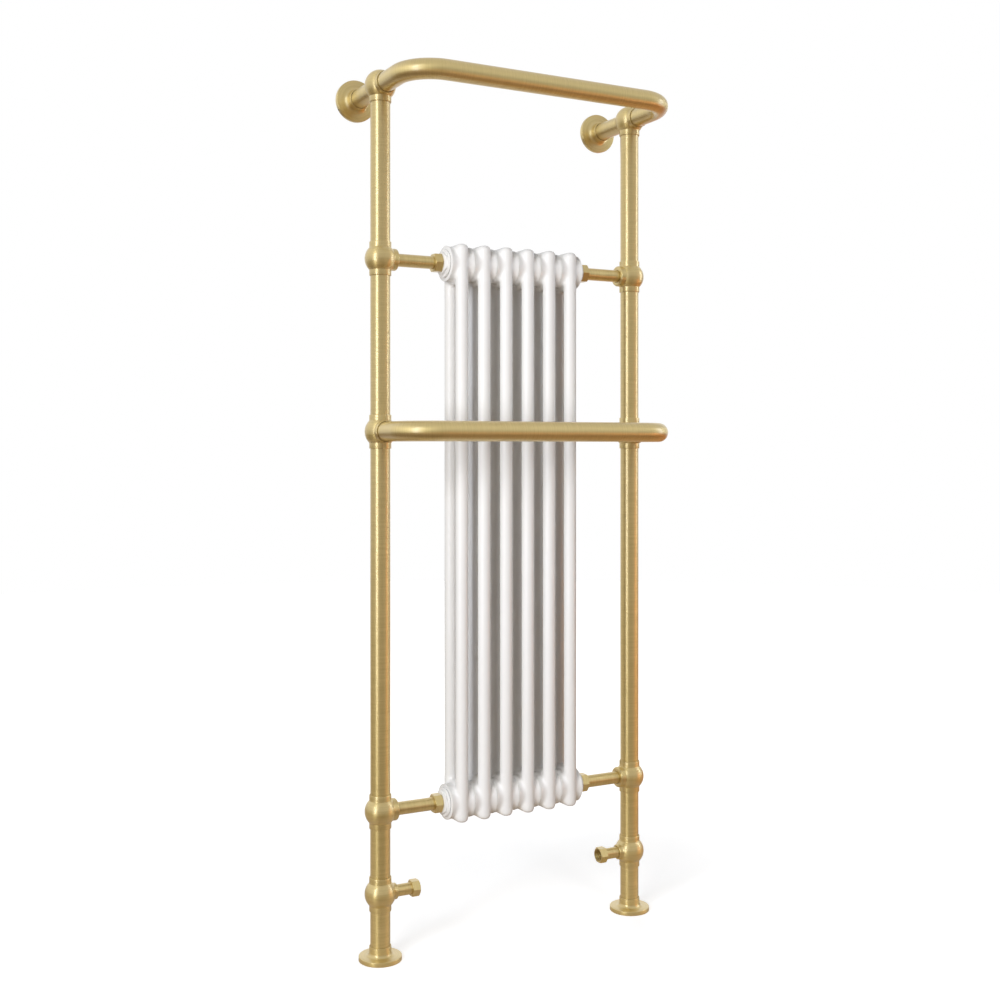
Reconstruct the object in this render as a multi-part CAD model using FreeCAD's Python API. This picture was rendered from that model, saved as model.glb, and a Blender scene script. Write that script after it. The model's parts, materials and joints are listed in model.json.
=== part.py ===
import FreeCAD, Part
import math
import os

# A towel radiator that stands on the floor and is stayed to a wall, in millimetres.
# Two ball-jointed brass uprights carry two U-shaped towel rails and, between them,
# a white column radiator. X runs to the right, Y to the wall and Z up, from the
# middle of the floor plan.

# Overall sizes: floor to the crowns of the top balls, and across the floor flanges
FRAME_HEIGHT = 1500.0
FRAME_WIDTH = 575.0
WALL_REACH = 116.5
RAIL_REACH = 136.0

# Heights of the ball joints below the top one
VALVE_HEIGHT = 111.0
LOWER_HEIGHT = 250.0
MIDDLE_HEIGHT = 890.0
UPPER_HEIGHT = 1181.5

# Brass tubes
TUBE_OD = 33.7
TUBE_WALL = 1.5
STAY_OD = 32.0
FEED_OD = 22.0
FEED_WALL = 1.0
RAIL_BEND = 60.0

# Ball joints
BALL_SWELL = 7.8
COLLAR_WALL = 1.7
COLLAR_EDGE = 0.8
FEED_BOSS_EDGE = 3.0
INLET_BOSS_OD = 27.5
INLET_BOSS_EDGE = 2.0
SOCKET_DEPTH = 10.5
SOCKET_LAND = 1.15
SEAT_LIP = 2.35
FEED_SEAT_LIP = 1.0
SOLDER_GAP = 0.15

# Floor and wall flanges
FLANGE_OD = 73.0
FLANGE_RIM = 7.5
FLANGE_EDGE = 1.5
FLANGE_COVE = 7.0
FLANGE_HEIGHT = 24.0
FOOT_FLOOR = 4.0
FLANGE_ROOF = 2.0

# Concealed wall plates and the screws that lock the flanges to them
PLATE_OD = 60.0
PLATE_THICKNESS = 4.5
PLATE_SIDE_GAP = 0.2
PLATE_ROOF_GAP = 0.7
PLATE_HOLE_OD = 5.5
PLATE_HOLE_SPACING = 40.0
COUNTERSINK_OD = 10.5
GRUB_OD = 3.0
GRUB_GAP = 0.05
GRUB_SINK = 0.5
GRUB_DROP_DEG = 30.0

# Column radiator
SECTION_COUNT = 6
SECTION_PITCH = 43.4
COLUMN_OD = 22.3
COLUMN_WALL = 1.25
COLUMN_OFFSET = 21.7
HEAD_RISE = 32.8
HEAD_DROP = 38.0
HUB_COLLAR_OD = 61.6
HUB_WAIST_OD = 58.6
HUB_BORE_OD = 42.0
HUB_COLLAR_WIDTH = 1.4
HUB_COLLAR_EDGE = 0.7
HUB_WAIST_WIDTH = 33.0
WEB_THICKNESS = 16.0
WEB_DROP = 36.5
RIB_DROP = 15.0
RIB_ROUND = 6.5
HEAD_BLEND = 6.0

# Reducing bushes in the radiator's ends
GASKET_THICKNESS = 0.8
GASKET_OD = 47.0
BUSH_SHANK_LENGTH = 13.2
BUSH_SHANK_GAP = 0.15
BUSH_SHANK_WALL = 3.85
BUSH_FLANGE_OD = 49.0
BUSH_FLANGE_THICKNESS = 3.5
BUSH_HEX_FLATS = 37.0
BUSH_HEX_LENGTH = 4.8
BUSH_SPIGOT_OD = 25.8
BUSH_SPIGOT_LENGTH = 8.0
BUSH_BORE_OD = 18.0

# Union nuts, washers and tube collars between the bushes and the uprights
UNION_FLATS = 30.0
UNION_FACE_GAP = 0.3
UNION_THREAD_GAP = 0.15
UNION_END_WALL = 2.5
WASHER_THICKNESS = 1.5
FEED_COLLAR_OD = 25.2
FEED_COLLAR_LENGTH = 3.0

# Loose inlet nuts on their tails
INLET_OD = 20.0
INLET_REACH = 69.5
INLET_FLATS = 26.0
INLET_NUT_LENGTH = 14.5
INLET_END_WALL = 3.0
INLET_THREAD_OD = 22.4
INLET_RUNNING_GAP = 0.05
INLET_COLLAR_OD = 21.6
INLET_COLLAR_LENGTH = 2.5
INLET_COLLAR_GAP = 0.3
INLET_CHAMBER_GAP = 0.6

# Air vent on the right-hand top ball
VENT_SPOT_DEPTH = 1.5
VENT_THREAD_OD = 9.7
VENT_SHANK_LENGTH = 8.0
VENT_FLATS = 13.0
VENT_HEX_LENGTH = 3.0
VENT_BOSS_OD = 11.0
VENT_BOSS_LENGTH = 5.0
VENT_RECESS_OD = 8.0
VENT_SPINDLE_OD = 5.0
VENT_RUNNING_GAP = 0.05
VENT_SQUARE = 5.0
VENT_SQUARE_LENGTH = 4.2
VENT_HEAD_GAP = 0.3
VENT_SPOT_GAP = 0.4

# Corner rounding of every hexagon, as the part of its corners that is turned off
HEX_CORNER_KEPT = 0.97
HEX_CHAMFER_SLOPE = 0.5

# How an inward corner is told from an outward or a flat one
PROBE_R = 0.5
PROBE_SHARE = 0.53

# Worked-out sizes
TUBE_R = TUBE_OD / 2
SOCKET_R = TUBE_R + SOLDER_GAP
TUBE_STEP = TUBE_WALL + SEAT_LIP
FEED_STEP = FEED_WALL + FEED_SEAT_LIP
FEED_R = FEED_OD / 2
INLET_R = INLET_OD / 2
COLLAR_R = SOCKET_R + COLLAR_WALL
BALL_R = COLLAR_R + BALL_SWELL
SEAT = TUBE_R + SOCKET_LAND
COLLAR_REACH = SEAT + SOCKET_DEPTH
TOP_HEIGHT = FRAME_HEIGHT - BALL_R
UPRIGHT_X = (FRAME_WIDTH - FLANGE_OD) / 2
FRAME_DEPTH = WALL_REACH + RAIL_REACH + TUBE_R
WALL_Y = FRAME_DEPTH / 2
UPRIGHT_Y = WALL_Y - WALL_REACH
RADIATOR_END = SECTION_COUNT * SECTION_PITCH / 2
PLATE_RECESS = PLATE_THICKNESS + PLATE_ROOF_GAP

# Stations along a radiator connection, outwards from the radiator's end face
BUSH_SEAT = GASKET_THICKNESS
BUSH_HEX_START = BUSH_SEAT + BUSH_FLANGE_THICKNESS
BUSH_HEX_END = BUSH_HEX_START + BUSH_HEX_LENGTH
SPIGOT_END = BUSH_HEX_END + BUSH_SPIGOT_LENGTH
WASHER_END = SPIGOT_END + WASHER_THICKNESS
FEED_COLLAR_END = WASHER_END + FEED_COLLAR_LENGTH
UNION_START = BUSH_HEX_END + UNION_FACE_GAP
UNION_END = FEED_COLLAR_END + UNION_END_WALL

# Stations along an inlet, inwards from the upright's axis
INLET_START = INLET_REACH - INLET_NUT_LENGTH
INLET_SHOULDER = INLET_START + INLET_END_WALL
TAIL_COLLAR_START = INLET_SHOULDER + INLET_COLLAR_GAP
TAIL_END = TAIL_COLLAR_START + INLET_COLLAR_LENGTH
INLET_THREAD_START = TAIL_END + INLET_COLLAR_GAP

# Stations along the air vent, outwards from its ball's centre
VENT_SEAT = BALL_R - VENT_SPOT_DEPTH
VENT_SHANK_START = VENT_SEAT - VENT_SHANK_LENGTH
VENT_BOSS_START = VENT_SEAT + VENT_HEX_LENGTH
VENT_END = VENT_BOSS_START + VENT_BOSS_LENGTH
VENT_SQUARE_START = VENT_BOSS_START + VENT_HEAD_GAP

RIGHT = FreeCAD.Vector(1, 0, 0)
LEFT = FreeCAD.Vector(-1, 0, 0)
FRONT = FreeCAD.Vector(0, -1, 0)
REAR = FreeCAD.Vector(0, 1, 0)
UP = FreeCAD.Vector(0, 0, 1)
DOWN = FreeCAD.Vector(0, 0, -1)
ORIGIN = FreeCAD.Vector(0, 0, 0)
PAST = 1.0

SIDES = {"left": LEFT, "right": RIGHT}


# Basic forms
def placed(shape, point, direction=UP):
    """Move a form made along Z so that its origin is at point and its Z along direction."""
    turn = FreeCAD.Rotation(UP, direction)
    moved = shape.copy()
    moved.Placement = FreeCAD.Placement(point, turn).multiply(shape.Placement)
    return moved


def turned(*outline):
    """Revolve a closed outline of (radius, height) points; a pair of points is an arc."""
    edges = []
    start = here = FreeCAD.Vector(outline[0][0], 0, outline[0][1])
    for step in outline[1:] + (outline[0],):
        arc = isinstance(step[0], tuple)
        end_r, end_h = step[1] if arc else step
        end = FreeCAD.Vector(end_r, 0, end_h)
        if arc:
            middle = FreeCAD.Vector(step[0][0], 0, step[0][1])
            edges.append(Part.Arc(here, middle, end).toShape())
        else:
            edges.append(Part.LineSegment(here, end).toShape())
        here = end
    assert here == start
    face = Part.Face(Part.Wire(edges))
    return face.revolve(ORIGIN, UP, 360)


def rod(radius, start, end):
    return Part.makeCylinder(radius, end - start, FreeCAD.Vector(0, 0, start))


def pipe(radius, wall, start, end):
    inner = radius - wall
    return turned((inner, start), (radius, start), (radius, end), (inner, end))


def hexagon(flats, start, end, corner_deg):
    """A hexagonal prism along Z with its corners turned off at both ends."""
    corner_r = flats / 2 / math.cos(math.radians(30))
    corners = []
    for number in range(7):
        angle = math.radians(corner_deg + 60 * number)
        corners.append(FreeCAD.Vector(corner_r * math.cos(angle), corner_r * math.sin(angle), start))
    prism = Part.Face(Part.makePolygon(corners)).extrude(UP * (end - start))
    face_r = flats / 2 * HEX_CORNER_KEPT
    chamfer = (corner_r - face_r) * HEX_CHAMFER_SLOPE
    outer = turned(
        (0, start),
        (face_r, start),
        (corner_r, start + chamfer),
        (corner_r, end - chamfer),
        (face_r, end),
        (0, end),
    )
    return prism.common(outer)


def on_upright(side, height):
    return FreeCAD.Vector(SIDES[side].x * UPRIGHT_X, UPRIGHT_Y, height)


# Ball joints. Each kind of port has its tube's diameter, the step in from there to the
# waterway, and its collar's radius and edge; the stays enter the ball without a collar.
PORTS = {
    "tube": (TUBE_OD, TUBE_STEP, COLLAR_R, COLLAR_EDGE),
    "feed": (FEED_OD, FEED_STEP, COLLAR_R, FEED_BOSS_EDGE),
    "inlet": (INLET_OD, FEED_STEP, INLET_BOSS_OD / 2, INLET_BOSS_EDGE),
    "stay": (STAY_OD, TUBE_STEP, 0, 0),
}


def port_collar(radius, edge):
    return turned(
        (0, 0),
        (radius, 0),
        (radius, COLLAR_REACH - edge),
        (radius - edge, COLLAR_REACH),
        (0, COLLAR_REACH),
    )


def port_bore(tube_od, step):
    socket_r = tube_od / 2 + SOLDER_GAP
    waterway_r = tube_od / 2 - step
    mouth = COLLAR_REACH + PAST
    return turned(
        (0, 0),
        (waterway_r, 0),
        (waterway_r, SEAT),
        (socket_r, SEAT),
        (socket_r, mouth),
        (0, mouth),
    )


def ball_joint(centre, **ports):
    """A hollow ball with its ports, given as the directions of each kind."""
    collars = []
    bores = []
    for kind, ways in ports.items():
        tube_od, step, collar_r, edge = PORTS[kind]
        for way in ways:
            bores.append(placed(port_bore(tube_od, step), ORIGIN, way))
            if collar_r:
                collars.append(placed(port_collar(collar_r, edge), ORIGIN, way))
    body = Part.makeSphere(BALL_R).multiFuse(collars)
    body = body.cut(bores[0].multiFuse(bores[1:]))
    return placed(body, centre)


# Tubes of the frame
def upright_tube(side, low, high):
    return placed(pipe(TUBE_R, TUBE_WALL, low, high), on_upright(side, 0))


def bent_rod(radius, height):
    """A rod along the U of a towel rail, from the left socket round to the right one."""
    root_y = UPRIGHT_Y - SEAT
    front_y = UPRIGHT_Y - RAIL_REACH
    bend_y = front_y + RAIL_BEND
    run_x = UPRIGHT_X - RAIL_BEND
    dip = RAIL_BEND * math.sqrt(0.5)

    def at(x, y):
        return FreeCAD.Vector(x, y, height)

    path = Part.Wire([
        Part.LineSegment(at(-UPRIGHT_X, root_y), at(-UPRIGHT_X, bend_y)).toShape(),
        Part.Arc(at(-UPRIGHT_X, bend_y), at(-run_x - dip, bend_y - dip), at(-run_x, front_y)).toShape(),
        Part.LineSegment(at(-run_x, front_y), at(run_x, front_y)).toShape(),
        Part.Arc(at(run_x, front_y), at(run_x + dip, bend_y - dip), at(UPRIGHT_X, bend_y)).toShape(),
        Part.LineSegment(at(UPRIGHT_X, bend_y), at(UPRIGHT_X, root_y)).toShape(),
    ])
    mouth = Part.Wire([Part.Circle(at(-UPRIGHT_X, root_y), FRONT, radius).toShape()])
    return path.makePipeShell([mouth], True, False)


def towel_rail(height):
    return bent_rod(TUBE_R, height).cut(bent_rod(TUBE_R - TUBE_WALL, height))


def wall_stay(side):
    end = WALL_REACH - PLATE_RECESS - FLANGE_ROOF
    return placed(pipe(STAY_OD / 2, TUBE_WALL, SEAT, end), on_upright(side, TOP_HEIGHT), REAR)


# Flanges on the floor and the wall
def flange_outline(tube_od, floor):
    """The outline from the rim's lower corner, over the neck and down into the socket."""
    rim_r = FLANGE_OD / 2
    socket_r = tube_od / 2 + SOLDER_GAP
    neck_r = socket_r + COLLAR_WALL
    cove_mid = FLANGE_COVE * (1 - math.sqrt(0.5))
    return (
        (rim_r, 0),
        (rim_r, FLANGE_RIM - FLANGE_EDGE),
        (rim_r - FLANGE_EDGE, FLANGE_RIM),
        (neck_r + FLANGE_COVE, FLANGE_RIM),
        ((neck_r + cove_mid, FLANGE_RIM + cove_mid), (neck_r, FLANGE_RIM + FLANGE_COVE)),
        (neck_r, FLANGE_HEIGHT - COLLAR_EDGE),
        (neck_r - COLLAR_EDGE, FLANGE_HEIGHT),
        (socket_r, FLANGE_HEIGHT),
        (socket_r, floor),
        (0, floor),
    )


def floor_flange(side):
    return placed(turned((0, 0), *flange_outline(TUBE_OD, FOOT_FLOOR)), on_upright(side, 0))


def wall_point(side):
    return FreeCAD.Vector(SIDES[side].x * UPRIGHT_X, WALL_Y, TOP_HEIGHT)


def grub_way(side):
    """The outward direction of a flange's locking screw, out to the side and below level."""
    drop = math.radians(GRUB_DROP_DEG)
    return FreeCAD.Vector(SIDES[side].x * math.cos(drop), 0, -math.sin(drop))


def grub_point(side):
    return wall_point(side) + FRONT * (PLATE_THICKNESS / 2)


def wall_flange(side):
    recess_r = PLATE_OD / 2 + PLATE_SIDE_GAP
    outline = flange_outline(STAY_OD, PLATE_RECESS + FLANGE_ROOF)
    body = turned((recess_r, 0), *outline, (0, PLATE_RECESS), (recess_r, PLATE_RECESS))
    hole = rod(GRUB_OD / 2 + GRUB_GAP, PLATE_OD / 2 - PAST, FLANGE_OD / 2 + PAST)
    return placed(body, wall_point(side), FRONT).cut(placed(hole, grub_point(side), grub_way(side)))


def wall_plate(side):
    plate = rod(PLATE_OD / 2, 0, PLATE_THICKNESS)
    hole_r = PLATE_HOLE_OD / 2
    sink_r = COUNTERSINK_OD / 2
    hole = turned(
        (0, -PAST),
        (hole_r, -PAST),
        (hole_r, PLATE_THICKNESS - sink_r + hole_r),
        (sink_r, PLATE_THICKNESS),
        (sink_r, PLATE_THICKNESS + PAST),
        (0, PLATE_THICKNESS + PAST),
    )
    plate = placed(plate, wall_point(side), FRONT)
    for end in (UP, DOWN):
        plate = plate.cut(placed(hole, wall_point(side) + end * (PLATE_HOLE_SPACING / 2), FRONT))
    return plate


def grub_screws():
    screw = rod(GRUB_OD / 2, PLATE_OD / 2 + GRUB_GAP, FLANGE_OD / 2 - GRUB_SINK)
    return Part.makeCompound([placed(screw, grub_point(side), grub_way(side)) for side in SIDES])


# Radiator sections
def creases(body):
    """The inward corners of a solid: edges with more than half of a small ball inside it."""
    found = []
    for edge in body.Edges:
        middle = edge.valueAt((edge.FirstParameter + edge.LastParameter) / 2)
        ball = Part.makeSphere(PROBE_R, middle)
        if ball.common(body).Volume > PROBE_SHARE * ball.Volume:
            found.append(edge)
    return found


def rib_plan(radius, height):
    """The plan of a head's rib: two columns with straight sides between them."""
    corners = []
    for x, y in ((-1, 1), (-1, -1), (1, -1), (1, 1)):
        corners.append(FreeCAD.Vector(x * radius, y * COLUMN_OFFSET, height))
    front = FreeCAD.Vector(0, -COLUMN_OFFSET - radius, height)
    rear = FreeCAD.Vector(0, COLUMN_OFFSET + radius, height)
    sides = [
        Part.LineSegment(corners[0], corners[1]),
        Part.Arc(corners[1], front, corners[2]),
        Part.LineSegment(corners[2], corners[3]),
        Part.Arc(corners[3], rear, corners[0]),
    ]
    return Part.Face(Part.Wire([side.toShape() for side in sides]))


def section_head():
    """An upper head about its hub's axis: collared hub, rounded rib, web and column stubs."""
    column_r = COLUMN_OD / 2
    bore_r = HUB_BORE_OD / 2
    collar_r = HUB_COLLAR_OD / 2
    waist_r = HUB_WAIST_OD / 2
    face = SECTION_PITCH / 2
    shoulder = face - HUB_COLLAR_WIDTH
    waist = HUB_WAIST_WIDTH / 2
    half = (
        (waist_r, waist),
        (collar_r, shoulder),
        (collar_r, face - HUB_COLLAR_EDGE),
        (collar_r - HUB_COLLAR_EDGE, face),
        (bore_r, face),
    )
    other_half = tuple((radius, -station) for radius, station in reversed(half))
    hub = placed(turned(*half, *other_half), ORIGIN, RIGHT)
    core = placed(rod(waist_r, -shoulder, shoulder), ORIGIN, RIGHT)

    def at(y, z):
        return FreeCAD.Vector(0, y, z)

    def legs(radius, top):
        return [placed(rod(radius, -HEAD_DROP, top), at(way * COLUMN_OFFSET, 0)) for way in (-1, 1)]

    rib = rib_plan(column_r, -RIB_DROP).extrude(UP * (RIB_DROP + HEAD_RISE))
    crown = [edge for edge in rib.Edges if min(end.Z for end in edge.Vertexes) > 0]
    rib = rib.makeFillet(RIB_ROUND, crown)
    web_r = WEB_THICKNESS / 2
    web_low = -WEB_DROP + web_r
    web_corner = FreeCAD.Vector(-web_r, -COLUMN_OFFSET, web_low)
    web = Part.makeBox(WEB_THICKNESS, 2 * COLUMN_OFFSET, -web_low, web_corner)
    keel = placed(rod(web_r, 0, 2 * COLUMN_OFFSET), at(-COLUMN_OFFSET, web_low), REAR)
    body = core.multiFuse([rib, web, keel] + legs(column_r, -RIB_DROP)).removeSplitter()
    body = body.makeFillet(HEAD_BLEND, creases(body)).fuse(hub)

    bore = placed(rod(bore_r, -face, face), ORIGIN, RIGHT)
    return body.cut(bore.multiFuse(legs(column_r - COLUMN_WALL, 0))).removeSplitter()


def radiator_section(number, head):
    x = (number - (SECTION_COUNT - 1) / 2) * SECTION_PITCH
    upper = placed(head, FreeCAD.Vector(x, UPRIGHT_Y, UPPER_HEIGHT))
    lower = placed(head, FreeCAD.Vector(x, UPRIGHT_Y, LOWER_HEIGHT), DOWN)
    pieces = [upper, lower]
    for way in (FRONT, REAR):
        foot = FreeCAD.Vector(x, UPRIGHT_Y, 0) + way * COLUMN_OFFSET
        column = pipe(COLUMN_OD / 2, COLUMN_WALL, LOWER_HEIGHT + HEAD_DROP, UPPER_HEIGHT - HEAD_DROP)
        pieces.append(placed(column, foot))
    return Part.makeCompound(pieces)


# Connections between the uprights and the radiator
def at_radiator_end(shape, side, height):
    point = FreeCAD.Vector(SIDES[side].x * RADIATOR_END, UPRIGHT_Y, height)
    return placed(shape, point, SIDES[side])


def reducing_bush():
    shank_r = HUB_BORE_OD / 2 - BUSH_SHANK_GAP
    hollow_r = shank_r - BUSH_SHANK_WALL
    bore_r = BUSH_BORE_OD / 2
    flange_r = BUSH_FLANGE_OD / 2
    spigot_r = BUSH_SPIGOT_OD / 2
    body = turned(
        (hollow_r, -BUSH_SHANK_LENGTH),
        (shank_r, -BUSH_SHANK_LENGTH),
        (shank_r, BUSH_SEAT),
        (flange_r, BUSH_SEAT),
        (flange_r, BUSH_HEX_START),
        (spigot_r, BUSH_HEX_START),
        (spigot_r, SPIGOT_END),
        (bore_r, SPIGOT_END),
        (bore_r, 0),
        (hollow_r, 0),
    )
    nut = hexagon(BUSH_HEX_FLATS, BUSH_HEX_START, BUSH_HEX_END, 0)
    return body.fuse(nut.cut(rod(spigot_r, 0, UNION_END)))


def bush_gasket():
    return pipe(GASKET_OD / 2, (GASKET_OD - HUB_BORE_OD) / 2, 0, GASKET_THICKNESS)


def union_washer():
    washer_r = FEED_COLLAR_OD / 2
    return pipe(washer_r, washer_r - BUSH_BORE_OD / 2, SPIGOT_END, WASHER_END)


def union_nut():
    body = hexagon(UNION_FLATS, UNION_START, UNION_END, 90)
    thread_r = BUSH_SPIGOT_OD / 2 + UNION_THREAD_GAP
    tube_r = FEED_R + SOLDER_GAP
    hollow = rod(thread_r, UNION_START, FEED_COLLAR_END).fuse(rod(tube_r, UNION_START, UNION_END))
    return body.cut(hollow)


def feed_tube():
    inner = FEED_R - FEED_WALL
    collar_r = FEED_COLLAR_OD / 2
    ball_end = UPRIGHT_X - SEAT - RADIATOR_END
    return turned(
        (inner, WASHER_END),
        (collar_r, WASHER_END),
        (collar_r, FEED_COLLAR_END),
        (FEED_R, FEED_COLLAR_END),
        (FEED_R, ball_end),
        (inner, ball_end),
    )


# Inlets below the radiator
def at_inlet(shape, side):
    return placed(shape, on_upright(side, VALVE_HEIGHT), SIDES[side] * -1)


def inlet_tail():
    inner = INLET_R - FEED_WALL
    collar_r = INLET_COLLAR_OD / 2
    return turned(
        (inner, SEAT),
        (INLET_R, SEAT),
        (INLET_R, TAIL_COLLAR_START),
        (collar_r, TAIL_COLLAR_START),
        (collar_r, TAIL_END),
        (inner, TAIL_END),
    )


def inlet_nut():
    body = hexagon(INLET_FLATS, INLET_START, INLET_REACH, 90)
    neck_r = INLET_R + INLET_RUNNING_GAP
    chamber_r = INLET_COLLAR_OD / 2 + INLET_CHAMBER_GAP
    thread_r = INLET_THREAD_OD / 2
    hollow = turned(
        (0, INLET_START - PAST),
        (neck_r, INLET_START - PAST),
        (neck_r, INLET_SHOULDER),
        (chamber_r, INLET_SHOULDER),
        (chamber_r, INLET_THREAD_START),
        (thread_r, INLET_THREAD_START),
        (thread_r, INLET_REACH + PAST),
        (0, INLET_REACH + PAST),
    )
    return body.cut(hollow)


# Air vent
def at_vent(shape):
    return placed(shape, on_upright("right", TOP_HEIGHT), RIGHT)


def vent_hole():
    spot_r = VENT_FLATS / 2 / math.cos(math.radians(30)) + VENT_SPOT_GAP
    hole = rod(VENT_THREAD_OD / 2 + SOLDER_GAP, 0, VENT_SEAT)
    return at_vent(hole.fuse(rod(spot_r, VENT_SEAT, BALL_R + PAST)))


def vent_plug():
    body = hexagon(VENT_FLATS, VENT_SEAT, VENT_BOSS_START, 0)
    body = body.fuse(rod(VENT_THREAD_OD / 2, VENT_SHANK_START, VENT_SEAT))
    body = body.fuse(rod(VENT_BOSS_OD / 2, VENT_BOSS_START, VENT_END))
    spindle_hole = rod(VENT_SPINDLE_OD / 2 + VENT_RUNNING_GAP, VENT_SHANK_START, VENT_BOSS_START)
    recess = rod(VENT_RECESS_OD / 2, VENT_BOSS_START, VENT_END)
    return at_vent(body.cut(spindle_hole.fuse(recess)))


def vent_spindle():
    half = VENT_SQUARE / 2
    corner = FreeCAD.Vector(-half, -half, VENT_SQUARE_START)
    head = Part.makeBox(VENT_SQUARE, VENT_SQUARE, VENT_SQUARE_LENGTH, corner)
    return at_vent(head.fuse(rod(VENT_SPINDLE_OD / 2, VENT_SHANK_START, VENT_SQUARE_START)))


# Whole assembly
def frame_nodes():
    nodes = {}
    heights = (VALVE_HEIGHT, LOWER_HEIGHT, MIDDLE_HEIGHT, UPPER_HEIGHT, TOP_HEIGHT)
    tube_names = ("leg_tube", "valve_riser", "long_riser", "upper_riser", "top_riser")
    for side, outward in SIDES.items():
        inward = outward * -1
        nodes[side + "_floor_flange"] = floor_flange(side)
        low = FOOT_FLOOR
        for name, height in zip(tube_names, heights):
            nodes[side + "_" + name] = upright_tube(side, low, height - SEAT)
            low = height + SEAT
        both = (UP, DOWN)
        valve, lower, middle, upper, top = [on_upright(side, height) for height in heights]
        nodes[side + "_valve_ball"] = ball_joint(valve, tube=both, inlet=(inward,))
        nodes[side + "_lower_ball"] = ball_joint(lower, tube=both, feed=(inward,))
        nodes[side + "_middle_ball"] = ball_joint(middle, tube=both + (FRONT,))
        nodes[side + "_upper_ball"] = ball_joint(upper, tube=both, feed=(inward,))
        nodes[side + "_top_ball"] = ball_joint(top, tube=(DOWN, FRONT), stay=(REAR,))
        nodes[side + "_wall_stay"] = wall_stay(side)
        nodes[side + "_wall_flange"] = wall_flange(side)
        nodes[side + "_wall_plate"] = wall_plate(side)
    nodes["right_top_ball"] = nodes["right_top_ball"].cut(vent_hole())
    nodes["top_rail"] = towel_rail(TOP_HEIGHT)
    nodes["middle_rail"] = towel_rail(MIDDLE_HEIGHT)
    nodes["flange_grub_screws"] = grub_screws()
    return nodes


def radiator_nodes():
    nodes = {}
    head = section_head()
    for number in range(SECTION_COUNT):
        nodes["radiator_section_%d" % (number + 1)] = radiator_section(number, head)
    gaskets = []
    washers = []
    for side in SIDES:
        for level, height in (("lower", LOWER_HEIGHT), ("upper", UPPER_HEIGHT)):
            name = side + "_" + level
            nodes[name + "_bush"] = at_radiator_end(reducing_bush(), side, height)
            nodes[name + "_union_nut"] = at_radiator_end(union_nut(), side, height)
            nodes[name + "_feed_tube"] = at_radiator_end(feed_tube(), side, height)
            gaskets.append(at_radiator_end(bush_gasket(), side, height))
            washers.append(at_radiator_end(union_washer(), side, height))
    nodes["bush_gaskets"] = Part.makeCompound(gaskets)
    nodes["union_washers"] = Part.makeCompound(washers)
    return nodes


def fitting_nodes():
    nodes = {}
    for side in SIDES:
        nodes[side + "_inlet_tail"] = at_inlet(inlet_tail(), side)
        nodes[side + "_inlet_nut"] = at_inlet(inlet_nut(), side)
    nodes["air_vent_plug"] = vent_plug()
    nodes["air_vent_spindle"] = vent_spindle()
    return nodes


os.makedirs("parts", exist_ok=True)
for nodes in (frame_nodes(), radiator_nodes(), fitting_nodes()):
    for name, shape in nodes.items():
        shape.exportStep("parts/" + name + ".step")
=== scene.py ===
"""Looks of the towel radiator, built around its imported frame. Sizes are in millimetres."""

import json
import math

import bmesh
import bpy
from mathutils import Matrix, Vector


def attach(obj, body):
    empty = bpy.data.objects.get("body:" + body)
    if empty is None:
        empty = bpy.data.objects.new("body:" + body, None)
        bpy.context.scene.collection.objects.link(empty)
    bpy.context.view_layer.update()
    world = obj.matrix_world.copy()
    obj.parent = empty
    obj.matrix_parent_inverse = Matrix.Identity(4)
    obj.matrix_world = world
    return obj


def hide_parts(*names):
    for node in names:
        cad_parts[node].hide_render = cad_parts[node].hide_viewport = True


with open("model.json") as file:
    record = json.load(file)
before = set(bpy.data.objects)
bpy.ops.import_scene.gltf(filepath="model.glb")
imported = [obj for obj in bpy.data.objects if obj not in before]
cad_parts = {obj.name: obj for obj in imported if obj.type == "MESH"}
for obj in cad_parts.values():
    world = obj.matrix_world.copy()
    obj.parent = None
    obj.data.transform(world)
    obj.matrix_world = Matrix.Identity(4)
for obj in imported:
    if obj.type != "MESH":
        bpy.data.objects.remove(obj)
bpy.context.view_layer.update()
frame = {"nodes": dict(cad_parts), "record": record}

MM = 0.001

# Merging distance, width of the thinnest face, reach of a cutter past a face, and a bare fit
WELD = 1e-4
SLIVER = 0.004
PAST = 1.0
FINE_GAP = 0.05

LEFT = Vector((-1, 0, 0))
RIGHT = Vector((1, 0, 0))
FRONT = Vector((0, -1, 0))
REAR = Vector((0, 1, 0))
UP = Vector((0, 0, 1))
DOWN = Vector((0, 0, -1))
SIDES = {"left": LEFT, "right": RIGHT}

# Frame of tubes and ball joints
UPRIGHT_X = 251.0
UPRIGHT_Y = 18.175
WALL_Y = 134.675
HEIGHTS = {"valve": 111.0, "lower": 250.0, "middle": 890.0, "upper": 1181.5, "top": 1473.5}
TUBE_R = 16.85
TUBE_WALL = 1.5
STAY_R = 16.0
FEED_R = 11.0
FEED_WALL = 1.0
INLET_R = 10.0
RAIL_REACH = 136.0
RAIL_BEND = 60.0
BALL_R = 26.5
COLLAR_R = 18.7
COLLAR_REACH = 28.5
COLLAR_EDGE = 0.7
COLLAR_FLARE = 0.8
FEED_PORT_EDGE = 3.0
FEED_PORT_FLARE = 2.5
INLET_BOSS_R = 13.75
INLET_BOSS_EDGE = 2.0
INLET_BOSS_FLARE = 4.0
STAY_MOUTH_MARGIN = 1.1
SEAT = 18.0
SOLDER_GAP = 0.15
SEAM_WIDTH = 0.6
SEAM_DEPTH = 1.2

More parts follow.
